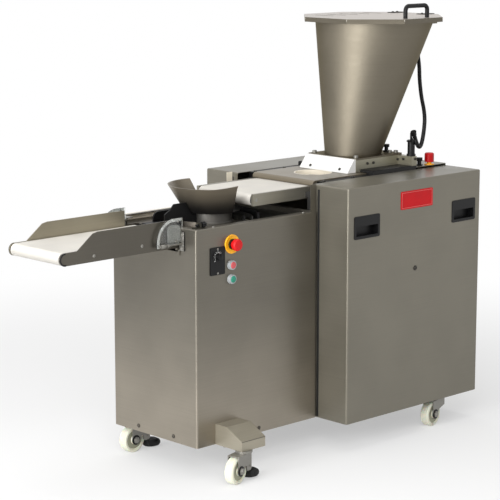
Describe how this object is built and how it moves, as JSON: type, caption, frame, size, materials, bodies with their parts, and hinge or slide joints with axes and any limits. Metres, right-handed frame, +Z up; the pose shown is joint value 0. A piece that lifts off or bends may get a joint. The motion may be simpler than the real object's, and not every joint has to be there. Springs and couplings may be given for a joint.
{
  "type": "dough divider and rounder",
  "caption": "Dough divider and rounder on casters: a lidded hopper, a shuttle plate, an infeed belt and funnel, a turning rounding bowl and a tilting outfeed belt, in steel housings.",
  "frame": {"origin": "on the floor, under the middle of the machine's length and width", "axes": "+X from the outfeed belt towards the hopper, +Y away from the control side, +Z up"},
  "size_m": [1.7729, 0.7014, 1.4825],
  "materials": {
    "stainless": "brushed, warm grey",
    "dark_funnel": "satin, dark",
    "frame_steel": "grey coat",
    "black_plastic": "matt black",
    "white_plastic": "matt white",
    "belt": "cream food belt",
    "alloy": "satin",
    "motor": "grey cast housing",
    "roller_steel": "turned",
    "clear": "clear sheet",
    "red": "gloss red",
    "pale_red": "gloss pale red",
    "green": "gloss green",
    "collar": "yellow and dark grey",
    "enclosure": "light grey",
    "zinc": "zinc plated",
    "wheel": "ivory"
  },
  "bodies": {
    "base": {"base_frame": "frame_steel", "caster_plates": "zinc", "conduit": "black_plastic", "conduit_end": "black_plastic", "conduit_post": "black_plastic", "control_box": "enclosure", "control_collars": "collar", "fasteners": "stainless", "feed_funnel": "dark_funnel", "feed_wedge": "white_plastic", "head_block": "alloy", "hopper": "stainless", "infeed_belt": "belt", "infeed_rails": "stainless", "lid_hinge_pin": "stainless", "lid_switch": "black_plastic", "outrigger_bracket": "stainless", "rear_cover": "stainless", "rounder_cabinet": "stainless", "rounder_motor": "motor", "rounder_tray": "stainless", "shuttle_motor": "motor", "side_guards": "clear", "slide_rails": "black_plastic", "speed_panel": "black_plastic", "spiral_track": "black_plastic"},
    "bowl": {"rounding_bowl": "alloy"},
    "outfeed": {"outfeed_sides": "stainless", "outfeed_belt": "belt"},
    "outfeed_drive": {"outfeed_drive_roller": "roller_steel"},
    "outfeed_nose": {"outfeed_nose_roller": "roller_steel"},
    "infeed_drive": {"infeed_drive_roller": "roller_steel"},
    "infeed_nose": {"infeed_nose_roller": "roller_steel"},
    "shuttle": {"shuttle_plate": "alloy", "shuttle_rack": "roller_steel"},
    "pinion": {"drive_pinion": "roller_steel"},
    "lid": {"hopper_lid": "stainless", "lid_handle": "black_plastic"},
    "near_cover_body": {"near_cover": "stainless", "near_cover_pulls": "black_plastic"},
    "far_cover_body": {"far_cover": "stainless", "far_cover_pulls": "black_plastic"},
    "front_estop": {"front_estop_button": "red"},
    "rear_estop": {"rear_estop_button": "red"},
    "stop": {"stop_button": "pale_red"},
    "start": {"start_button": "green"},
    "speed": {"speed_knob": "black_plastic"},
    "latch": {"latch_knob": "black_plastic"},
    "hopper_clamp": {"hopper_clamp_knob": "black_plastic"},
    "rear_clamp": {"rear_clamp_knob": "black_plastic"},
    "rounder_far_fork_body": {"rounder_far_fork": "zinc"},
    "rounder_far_wheel_body": {"rounder_far_wheel": "wheel"},
    "rounder_far_pedal_body": {"rounder_far_pedal": "black_plastic"},
    "rounder_near_fork_body": {"rounder_near_fork": "zinc"},
    "rounder_near_wheel_body": {"rounder_near_wheel": "wheel"},
    "rounder_near_pedal_body": {"rounder_near_pedal": "black_plastic"},
    "divider_near_fork_body": {"divider_near_fork": "zinc"},
    "divider_near_wheel_body": {"divider_near_wheel": "wheel"},
    "divider_far_fork_body": {"divider_far_fork": "zinc"},
    "divider_far_wheel_body": {"divider_far_wheel": "wheel"}
  },
  "joints": [
    {"name": "bowl_spin", "type": "hinge", "parent": "base", "child": "bowl", "pos_m": [-0.142, 0, 0.7], "axis": [0, 0, 1], "continuous": true},
    {"name": "outfeed_tilt", "type": "hinge", "parent": "base", "child": "outfeed", "pos_m": [-0.38, 0, 0.767], "axis": [0, 1, 0], "range_deg": [0, 35]},
    {"name": "outfeed_drive_spin", "type": "hinge", "parent": "outfeed", "child": "outfeed_drive", "pos_m": [-0.38, 0, 0.767], "axis": [0, 1, 0], "continuous": true},
    {"name": "outfeed_nose_spin", "type": "hinge", "parent": "outfeed", "child": "outfeed_nose", "pos_m": [-0.859, 0, 0.767], "axis": [0, 1, 0], "continuous": true},
    {"name": "infeed_drive_spin", "type": "hinge", "parent": "base", "child": "infeed_drive", "pos_m": [0.404, 0, 0.864], "axis": [0, 1, 0], "continuous": true},
    {"name": "infeed_nose_spin", "type": "hinge", "parent": "base", "child": "infeed_nose", "pos_m": [-0.07, 0, 0.864], "axis": [0, 1, 0], "continuous": true},
    {"name": "shuttle_stroke", "type": "slide", "parent": "base", "child": "shuttle", "axis": [1, 0, 0], "range_m": [0, 0.19]},
    {"name": "pinion_spin", "type": "hinge", "parent": "base", "child": "pinion", "pos_m": [0.627, 0.105, 0.843], "axis": [0, 1, 0], "range_deg": [0, 363]},
    {"name": "lid_hinge", "type": "hinge", "parent": "base", "child": "lid", "pos_m": [0.886, 0, 1.42], "axis": [0, 1, 0], "range_deg": [0, 95]},
    {"name": "near_cover_pull", "type": "slide", "parent": "base", "child": "near_cover_body", "axis": [0, -1, 0], "range_m": [0, 0.15]},
    {"name": "far_cover_pull", "type": "slide", "parent": "base", "child": "far_cover_body", "axis": [0, 1, 0], "range_m": [0, 0.15]},
    {"name": "front_estop_press", "type": "slide", "parent": "base", "child": "front_estop", "axis": [0, 1, 0], "range_m": [0, 0.006], "stiffness_N_per_m": 800, "springref_m": -0.004},
    {"name": "rear_estop_press", "type": "slide", "parent": "base", "child": "rear_estop", "axis": [0, 0, -1], "range_m": [0, 0.006], "stiffness_N_per_m": 800, "springref_m": -0.004},
    {"name": "stop_press", "type": "slide", "parent": "base", "child": "stop", "axis": [0, 1, 0], "range_m": [0, 0.003], "stiffness_N_per_m": 600, "springref_m": -0.002},
    {"name": "start_press", "type": "slide", "parent": "base", "child": "start", "axis": [0, 1, 0], "range_m": [0, 0.003], "stiffness_N_per_m": 600, "springref_m": -0.002},
    {"name": "speed_turn", "type": "hinge", "parent": "base", "child": "speed", "pos_m": [-0.309, -0.215, 0.716], "axis": [0, 1, 0], "range_deg": [-135, 135]},
    {"name": "latch_turn", "type": "hinge", "parent": "base", "child": "latch", "pos_m": [-0.357, -0.183, 0.8215], "axis": [1, 0, 0], "range_deg": [0, 360]},
    {"name": "hopper_clamp_turn", "type": "hinge", "parent": "base", "child": "hopper_clamp", "pos_m": [0.657, -0.052, 0.96], "axis": [0, 0, 1], "range_deg": [0, 360]},
    {"name": "rear_clamp_turn", "type": "hinge", "parent": "base", "child": "rear_clamp", "pos_m": [0.713, -0.16, 0.92], "axis": [0, 0, 1], "range_deg": [0, 360]},
    {"name": "rounder_far_swivel", "type": "hinge", "parent": "base", "child": "rounder_far_fork_body", "pos_m": [-0.302, 0.176, 0.095], "axis": [0, 0, 1], "continuous": true},
    {"name": "rounder_far_roll", "type": "hinge", "parent": "rounder_far_fork_body", "child": "rounder_far_wheel_body", "pos_m": [-0.352, 0.176, 0.0445], "axis": [0, 1, 0], "continuous": true},
    {"name": "rounder_far_brake", "type": "hinge", "parent": "rounder_far_fork_body", "child": "rounder_far_pedal_body", "pos_m": [-0.298, 0.176, 0.05], "axis": [0, 1, 0], "range_deg": [-12, 0]},
    {"name": "rounder_near_swivel", "type": "hinge", "parent": "base", "child": "rounder_near_fork_body", "pos_m": [-0.296, -0.313, 0.095], "axis": [0, 0, 1], "continuous": true},
    {"name": "rounder_near_roll", "type": "hinge", "parent": "rounder_near_fork_body", "child": "rounder_near_wheel_body", "pos_m": [-0.34452, -0.3251, 0.0445], "axis": [-0.2419, 0.9703, 0], "continuous": true},
    {"name": "rounder_near_brake", "type": "hinge", "parent": "rounder_near_fork_body", "child": "rounder_near_pedal_body", "pos_m": [-0.29212, -0.31203, 0.05], "axis": [-0.2419, 0.9703, 0], "range_deg": [-12, 0]},
    {"name": "divider_near_swivel", "type": "hinge", "parent": "base", "child": "divider_near_fork_body", "pos_m": [0.668, -0.303, 0.095], "axis": [0, 0, 1], "continuous": true},
    {"name": "divider_near_roll", "type": "hinge", "parent": "divider_near_fork_body", "child": "divider_near_wheel_body", "pos_m": [0.61876, -0.31168, 0.0445], "axis": [-0.1736, 0.9848, 0], "continuous": true},
    {"name": "divider_far_swivel", "type": "hinge", "parent": "base", "child": "divider_far_fork_body", "pos_m": [0.668, 0.303, 0.095], "axis": [0, 0, 1], "continuous": true},
    {"name": "divider_far_roll", "type": "hinge", "parent": "divider_far_fork_body", "child": "divider_far_wheel_body", "pos_m": [0.61827, 0.30823, 0.0445], "axis": [0.1045, 0.9945, 0], "continuous": true}
  ],
  "couplings": [
    {"joint": "pinion_spin", "follows": "shuttle_stroke", "rad_per_m": 33.333},
    {"joint": "outfeed_nose_spin", "follows": "outfeed_drive_spin", "ratio": 1},
    {"joint": "infeed_nose_spin", "follows": "infeed_drive_spin", "ratio": 1}
  ]
}
